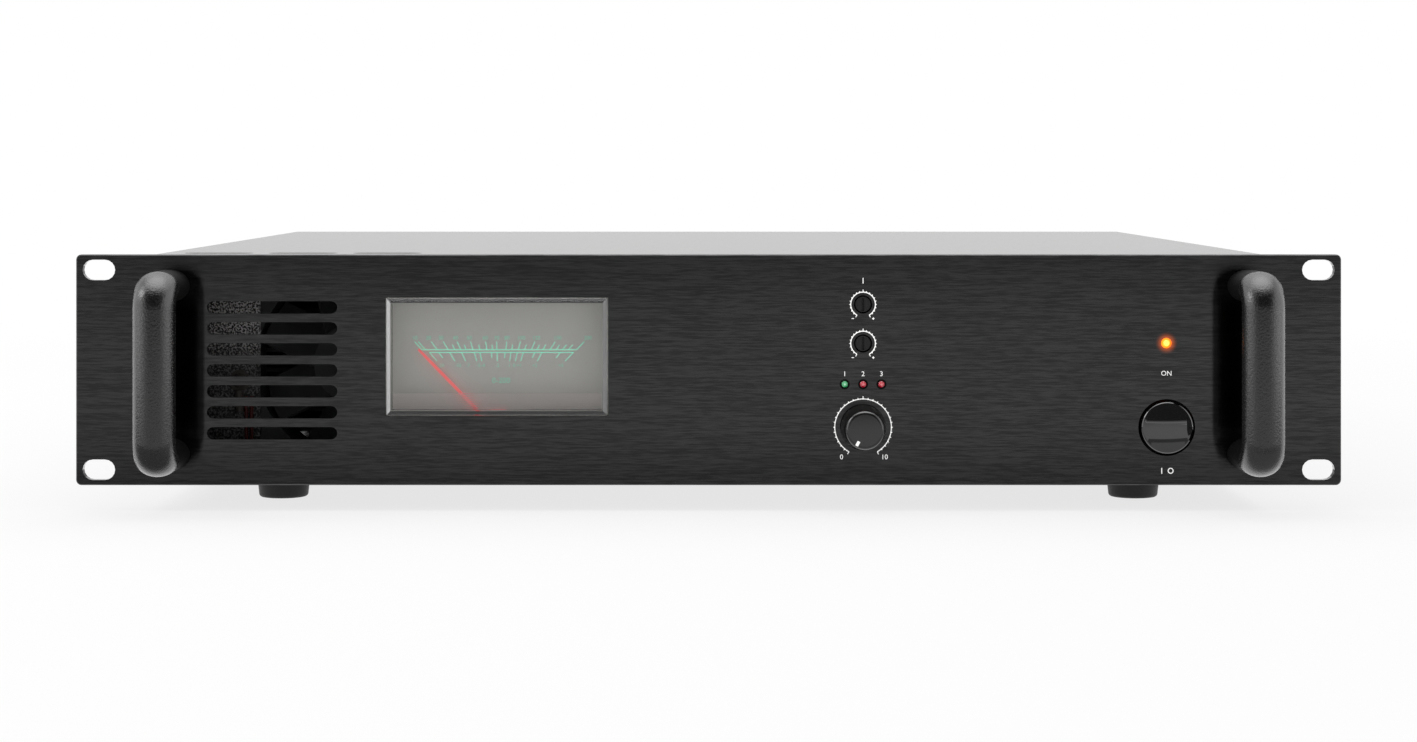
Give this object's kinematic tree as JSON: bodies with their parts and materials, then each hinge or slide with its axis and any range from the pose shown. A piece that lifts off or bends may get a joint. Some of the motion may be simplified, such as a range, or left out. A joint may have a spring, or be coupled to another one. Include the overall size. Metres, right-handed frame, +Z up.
{
  "type": "rack power amplifier",
  "caption": "Two-unit rack power amplifier with bow handles, needle meter, vent slots, volume knob, trimmers, indicator lights and a round power button.",
  "frame": {"origin": "on the surface that the feet stand on, under the middle of the amplifier's outer box", "axes": "+X to the right along the front panel as seen from the front, +Y from the front panel to the rear, +Z up"},
  "size_m": [0.4826, 0.4524, 0.098],
  "materials": {
    "anodised_panel": "black anodised aluminium, brushed along its length",
    "handle_enamel": "fine-textured black enamel on cast aluminium",
    "powder_coat": "black satin powder coat on steel sheet",
    "zinc_steel": "zinc plated",
    "foot_rubber": "matt black rubber",
    "black_plastic": "moulded black plastic",
    "dial_card": "grey printed dial plate with green scales",
    "clear_window": "clear moulded acrylic with a polished bevel",
    "needle_red": "red lacquered pointer",
    "circuit_board": "green solder mask",
    "led_green": "tinted clear resin",
    "led_red": "tinted clear resin",
    "led_amber": "tinted clear resin, lit",
    "bare_aluminium": "bare extruded aluminium",
    "knob_plastic": "black moulded plastic with a soft sheen",
    "button_gloss": "polished black plastic",
    "black_epoxy": "moulded epoxy",
    "capacitor_sleeve": "shrunk plastic sleeve",
    "winding_tape": "copper winding under amber tape",
    "core_iron": "varnished steel laminations",
    "socket_brass": "plated brass"
  },
  "bodies": {
    "root": {"front_panel": "anodised_panel", "handle_left": "handle_enamel", "handle_right": "handle_enamel", "handle_screw_left_lower": "zinc_steel", "handle_screw_left_upper": "zinc_steel", "handle_screw_right_lower": "zinc_steel", "handle_screw_right_upper": "zinc_steel", "base_plate": "powder_coat", "side_panel_left": "powder_coat", "side_panel_right": "powder_coat", "inner_front_plate": "powder_coat", "rear_panel": "powder_coat", "top_cover": "powder_coat", "foot_front_left": "foot_rubber", "foot_front_right": "foot_rubber", "foot_rear_left": "foot_rubber", "foot_rear_right": "foot_rubber", "meter_housing": "black_plastic", "meter_dial": "dial_card", "meter_window": "clear_window", "meter_movement": "zinc_steel", "control_board": "circuit_board", "treble_pot": "black_plastic", "bass_pot": "black_plastic", "led_signal": "led_green", "led_peak": "led_red", "led_protect": "led_red", "led_power": "led_amber", "volume_pot": "zinc_steel", "volume_nut": "zinc_steel", "power_switch": "black_plastic", "fan_frame": "black_plastic", "heatsink": "bare_aluminium", "amplifier_board": "circuit_board", "bridge_rectifier": "black_epoxy", "power_transistor_1": "black_epoxy", "power_transistor_2": "black_epoxy", "power_transistor_3": "black_epoxy", "power_transistor_4": "black_epoxy", "reservoir_capacitor_1": "capacitor_sleeve", "reservoir_capacitor_2": "capacitor_sleeve", "transformer_pad": "foot_rubber", "mains_transformer": "winding_tape", "transformer_clamp_plate": "zinc_steel", "transformer_bolt": "zinc_steel", "line_transformer_core": "core_iron", "line_transformer_coil": "winding_tape", "mains_inlet": "black_plastic", "fuse_holder": "black_plastic", "output_terminal_block": "black_plastic", "line_socket_1": "socket_brass", "line_socket_2": "socket_brass", "ground_post": "socket_brass"},
    "volume": {"volume_knob": "knob_plastic", "volume_shaft": "bare_aluminium"},
    "treble": {"treble_trim": "black_plastic"},
    "bass": {"bass_trim": "black_plastic"},
    "power": {"power_button": "button_gloss"},
    "needle": {"meter_needle": "needle_red"},
    "rotor": {"fan_rotor": "black_plastic"}
  },
  "joints": [
    {"name": "volume_turn", "type": "hinge", "parent": "root", "child": "volume", "pos_m": [0.0589, -0.19015, 0.0321], "axis": [0, 1, 0], "range_deg": [0, 300]},
    {"name": "treble_turn", "type": "hinge", "parent": "root", "child": "treble", "pos_m": [0.0589, -0.19015, 0.07895], "axis": [0, 1, 0], "range_deg": [-150, 150]},
    {"name": "bass_turn", "type": "hinge", "parent": "root", "child": "bass", "pos_m": [0.0589, -0.19015, 0.06405], "axis": [0, 1, 0], "range_deg": [-150, 150]},
    {"name": "power_press", "type": "slide", "parent": "root", "child": "power", "axis": [0, 1, 0], "range_m": [-0.004, 0.001]},
    {"name": "meter_swing", "type": "hinge", "parent": "root", "child": "needle", "pos_m": [-0.0808, -0.19015, 0.0299], "axis": [0, 1, 0], "range_deg": [0, 90], "stiffness_Nm_per_rad": 0.00002, "springref_deg": -22.92},
    {"name": "fan_spin", "type": "hinge", "parent": "root", "child": "rotor", "pos_m": [-0.1401, -0.15635, 0.054], "axis": [0, 1, 0], "continuous": true}
  ]
}
